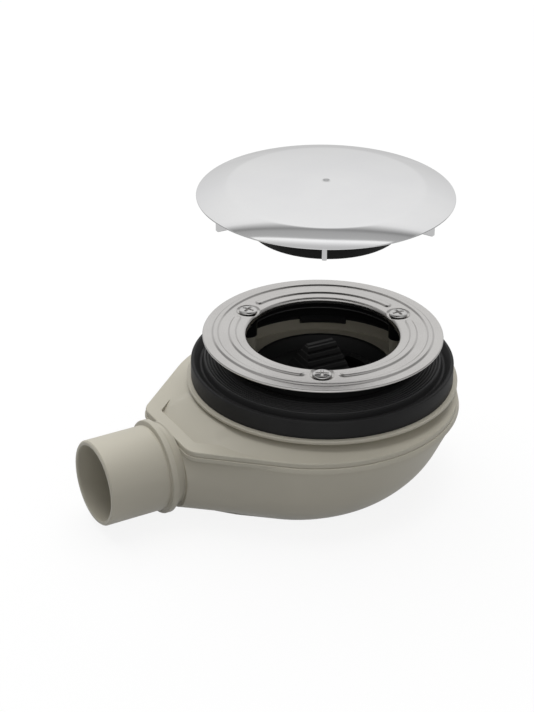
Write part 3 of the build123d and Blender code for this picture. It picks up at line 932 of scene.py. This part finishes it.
def hollowFlare(bm):
    s = flareShape
    bm.normal_update()
    flareEdges = {edge for face in bm.faces if onFlare(face) for edge in face.edges}
    longEdges = [edge for edge in bm.edges if edge in flareEdges and runsOut(edge)]
    bmesh.ops.subdivide_edges(bm, edges=longEdges, cuts=s["cuts"])
    bm.normal_update()
    keep = bm.loops.layers.float_vector["keep"]
    faces = [face for face in bm.faces if onFlare(face)]
    step = s["probe"]
    for face in faces:
        for loop in face.loops:
            x, y = loop.vert.co.xy
            out = Vector((x - s["centreX"], y)).normalized() * s["slope"]
            leanX = (flareSag(x + step, y) - flareSag(x - step, y)) / (2 * step)
            leanY = (flareSag(x, y + step) - flareSag(x, y - step)) / (2 * step)
            loop[keep] = Vector((out.x + leanX, out.y + leanY, 1)).normalized()
    for vert in {vert for face in faces for vert in face.verts}:
        vert.co.z -= flareSag(vert.co.x, vert.co.y)


def makeUpperShell():
    mesh = solidCopy("upper_shell", "upperShell", hollowFlare)
    addPiece("upperShell", mesh, bodyPlastic, ["upper_shell"], sharp=0)


# trap insert: the solid, with its grip turned and leaned as the photograph shows it

gripShape = {
    "floorZ": 47.5 * mm,
    "topZ": 59.5 * mm,
    "margin": 0.01 * mm,
    "reach": 22.0 * mm,
    "turn": math.radians(10),
    "lean": (4.9 * mm, -2.8 * mm),
}


def onGrip(vert):
    s = gripShape
    return vert.co.z > s["floorZ"] + s["margin"] and vert.co.xy.length < s["reach"]


def leanGrip(bm):
    s = gripShape
    keep = bm.loops.layers.float_vector["keep"]
    for face in bm.faces:
        if any(onGrip(vert) for vert in face.verts):
            for loop in face.loops:
                loop[keep] = (0, 0, 0)
    turn = Matrix.Rotation(s["turn"], 3, "Z")
    for vert in [vert for vert in bm.verts if onGrip(vert)]:
        vert.co = turn @ vert.co
        share = (vert.co.z - s["floorZ"]) / (s["topZ"] - s["floorZ"])
        vert.co.x += share * s["lean"][0]
        vert.co.y += share * s["lean"][1]


def makeInsert():
    mesh = solidCopy("trap_insert", "trapInsert", leanGrip)
    addPiece("trapInsert", mesh, blackPlastic, ["trap_insert"], sharp=0)


# neck sleeve: the solid, with a rounded step that catches the light inside it, drawn in a lighter copy of the
# black plastic as painted highlight

stepShape = {
    "z": 64.75 * mm,
    "inner": 38.2 * mm,
    "outer": 39.4 * mm,
    "half": 0.35 * mm,
    "round": 0.3 * mm,
}


def makeSleeveStep():
    s = stepShape
    lowZ, highZ = s["z"] - s["half"], s["z"] + s["half"]
    section = roundedProfile([
        (s["inner"], lowZ, s["round"]), (s["outer"], lowZ, 0),
        (s["outer"], highZ, 0), (s["inner"], highZ, s["round"]),
    ])
    addPiece("sleeveStep", lathe("sleeveStep", section), stepHighlightPlastic, ["neck_sleeve"])


def makeSleeve():
    mesh = solidCopy("neck_sleeve", "neckSleeve")
    addPiece("neckSleeve", mesh, blackPlastic, ["neck_sleeve"], sharp=0)


def makeInsertRing():
    mesh = solidCopy("insert_o_ring", "insertORing")
    addPiece("insertORing", mesh, blackRubber, ["insert_o_ring"], sharp=0)


makeUpperShell()
makeInsert()
makeSleeveStep()
makeSleeve()
makeInsertRing()
print("shells and insert ready")


# camera: a long lens, turned as in the photograph

cameraView = {
    "place": (-448.1 * mm, -727.1 * mm, 515.2 * mm),
    "heading": math.radians(29.88),
    "pitch": math.radians(28.17),
    "roll": math.radians(0.45),
    "lens": 102.88,
    "clip": (0.01, 100),
}


def makeCamera():
    s = cameraView
    camera = bpy.data.cameras.new("photoCamera")
    camera.lens = s["lens"]
    camera.clip_start, camera.clip_end = s["clip"]
    holder = bpy.data.objects.new("photoCamera", camera)
    bpy.context.scene.collection.objects.link(holder)
    forward = Vector((math.sin(s["heading"]) * math.cos(s["pitch"]),
                      math.cos(s["heading"]) * math.cos(s["pitch"]), -math.sin(s["pitch"])))
    right = forward.cross(Vector((0, 0, 1))).normalized()
    up = right.cross(forward)
    side = right * math.cos(s["roll"]) + up * math.sin(s["roll"])
    rise = up * math.cos(s["roll"]) - right * math.sin(s["roll"])
    turn = Matrix((side, rise, -forward)).transposed().to_4x4()
    holder.matrix_world = Matrix.Translation(Vector(s["place"])) @ turn
    bpy.context.scene.camera = holder


# studio: white floor, soft lamp overhead, sky with a grey belt for reflections

studio = {
    "floorSize": 12.0,
    "floorShade": 0.50,             # what lights the part
    "sheetShade": 0.95,             # what the camera sees, mixed with plain white
    "whiteShare": 0.88,
    "floorInMetal": (0.58, 0.66),   # what shiny faces see, near and far
    "floorReach": (0.4, 2.4),
    "ambient": 0.52,
    "tilt": -0.30,                  # more light from the outlet's side
    "endShade": 0.90,               # share lost towards -X and +X
    "endReach": (0.35, 1.0),
    "lampSize": 2.2,
    "lampPlace": (0.3, 0.54, 1.7),
    "lampPower": 32.5,
    # degrees of climb away from the camera, brightness seen by shiny faces
    "skyBelt": [(0, 0.66), (11, 0.75), (24, 0.85), (38, 0.90), (49, 0.92), (51.5, 0.88),
                (53.6, 0.50), (55.0, 0.26), (56.2, 0.40), (57.5, 0.43), (59.2, 0.46), (59.7, 1.12),
                (60.4, 0.98), (61.2, 0.76), (62, 0.58), (64, 0.52), (90, 0.50)],
    "beltTurn": math.radians(2.5),
    "beltBend": 0.75,
    "leastAlong": 0.05,
    "leastAhead": 0.02,
    "beltFade": -0.65,              # dimmer towards the picture's sides
    "backLift": 0.80,               # lighter again behind the camera
}


def grey(value):
    return (value, value, value, 1)


def mixShaders(tree, share, first, second):
    mix = treeNode(tree, "ShaderNodeMixShader")
    feed(tree, mix.inputs[0], share)
    tree.links.new(first.outputs[0], mix.inputs[1])
    tree.links.new(second.outputs[0], mix.inputs[2])
    return mix


def byRay(tree, lighting, mirrored, seen):
    # one shader lights the part, one shows in shiny faces, one meets the camera
    path = treeNode(tree, "ShaderNodeLightPath")
    shiny = mathNode(tree, "MAXIMUM", path.outputs["Is Glossy Ray"], path.outputs["Is Transmission Ray"])
    unseen = mixShaders(tree, shiny, lighting, mirrored)
    return mixShaders(tree, path.outputs["Is Camera Ray"], unseen, seen)


def makeFloor():
    s = studio
    half = s["floorSize"] / 2
    mesh = bpy.data.meshes.new("floor")
    corners = [(-half, -half), (half, -half), (half, half), (-half, half)]
    mesh.from_pydata([(x, y, cadBox[0].z) for x, y in corners], [], [(0, 1, 2, 3)])
    floor = bpy.data.objects.new("floor", mesh)
    bpy.context.scene.collection.objects.link(floor)
    material = bpy.data.materials.new("whiteFloor")
    material.use_nodes = True
    tree = material.node_tree
    tree.nodes.clear()
    shade = treeNode(tree, "ShaderNodeBsdfDiffuse")
    shade.inputs["Color"].default_value = grey(s["floorShade"])
    sheet = treeNode(tree, "ShaderNodeBsdfDiffuse")
    sheet.inputs["Color"].default_value = grey(s["sheetShade"])
    white = treeNode(tree, "ShaderNodeEmission")
    mirrored = treeNode(tree, "ShaderNodeEmission")
    coords = treeNode(tree, "ShaderNodeTexCoord")
    away = treeNode(tree, "ShaderNodeVectorMath", operation="LENGTH")
    tree.links.new(coords.outputs["Object"], away.inputs[0])
    fade = spanNode(tree, away.outputs["Value"], *s["floorInMetal"], *s["floorReach"])
    tree.links.new(fade, mirrored.inputs["Strength"])
    surface = byRay(tree, shade, mirrored, mixShaders(tree, s["whiteShare"], sheet, white))
    output = treeNode(tree, "ShaderNodeOutputMaterial")
    tree.links.new(surface.outputs[0], output.inputs["Surface"])
    mesh.materials.append(material)


def dotNode(tree, vector, axis):
    dot = treeNode(tree, "ShaderNodeVectorMath", operation="DOT_PRODUCT")
    dot.inputs[1].default_value = axis
    tree.links.new(vector, dot.inputs[0])
    return dot.outputs["Value"]


def makeBelt(tree, climb):
    s = studio
    belt = treeNode(tree, "ShaderNodeValToRGB")
    stops = belt.color_ramp.elements
    while len(stops) < len(s["skyBelt"]):
        stops.new(1.0)
    for stop, (degrees, value) in zip(stops, s["skyBelt"]):
        stop.position = degrees / 90
        stop.color = grey(value)
    tree.links.new(mathNode(tree, "DIVIDE", climb, math.pi / 2), belt.inputs[0])
    return belt.outputs[0]


def makeWorld():
    s = studio
    world = bpy.data.worlds.new("studioWorld")
    bpy.context.scene.world = world
    world.use_nodes = True
    tree = world.node_tree
    tree.nodes.clear()
    way = treeNode(tree, "ShaderNodeTexCoord").outputs["Generated"]
    split = treeNode(tree, "ShaderNodeSeparateXYZ")
    tree.links.new(way, split.inputs[0])
    heading = cameraView["heading"] + s["beltTurn"]
    across = dotNode(tree, way, (math.cos(heading), -math.sin(heading), 0))
    along = dotNode(tree, way, (math.sin(heading), math.cos(heading), 0))
    acrossSquare = mathNode(tree, "MULTIPLY", across, across)

    # the belt follows the climb away from the camera, bent towards the sides
    ahead = mathNode(tree, "MAXIMUM", along, s["leastAlong"])
    bend = mathNode(tree, "MULTIPLY", mathNode(tree, "DIVIDE", acrossSquare, ahead), s["beltBend"])
    ahead = mathNode(tree, "MAXIMUM", mathNode(tree, "SUBTRACT", ahead, bend), s["leastAhead"])
    climb = mathNode(tree, "ARCTAN2", split.outputs["Z"], ahead)
    mirrored = treeNode(tree, "ShaderNodeBackground")
    tree.links.new(makeBelt(tree, climb), mirrored.inputs["Color"])
    behind = mathNode(tree, "MAXIMUM", mathNode(tree, "MULTIPLY", along, -1.0), 0.0)
    strength = mathNode(tree, "MULTIPLY_ADD", acrossSquare, s["beltFade"], 1.0)
    strength = mathNode(tree, "MULTIPLY_ADD", behind, s["backLift"], strength)
    tree.links.new(strength, mirrored.inputs["Strength"])

    # soft light from all round, less of it from the two ends
    end = mathNode(tree, "ABSOLUTE", split.outputs["X"])
    end = spanNode(tree, end, s["ambient"], s["ambient"] * (1 - s["endShade"]), *s["endReach"])
    tilt = mathNode(tree, "MULTIPLY_ADD", split.outputs["X"], s["tilt"], 1.0)
    lighting = treeNode(tree, "ShaderNodeBackground")
    lighting.inputs["Color"].default_value = grey(1.0)
    tree.links.new(mathNode(tree, "MULTIPLY", end, tilt), lighting.inputs["Strength"])

    white = treeNode(tree, "ShaderNodeBackground")
    white.inputs["Color"].default_value = grey(1.0)
    output = treeNode(tree, "ShaderNodeOutputWorld")
    tree.links.new(byRay(tree, lighting, mirrored, white).outputs[0], output.inputs["Surface"])


def makeLamp():
    s = studio
    lamp = bpy.data.lights.new("overheadLamp", "AREA")
    lamp.shape = "DISK"
    lamp.size = s["lampSize"]
    lamp.energy = s["lampPower"]
    holder = bpy.data.objects.new("overheadLamp", lamp)
    holder.location = s["lampPlace"]
    holder.rotation_euler = Vector(s["lampPlace"]).to_track_quat("Z", "Y").to_euler()
    holder.visible_glossy = False
    bpy.context.scene.collection.objects.link(holder)


makeFloor()
makeWorld()
makeLamp()
makeCamera()
bpy.context.scene.view_settings.view_transform = "Standard"
print("studio ready")
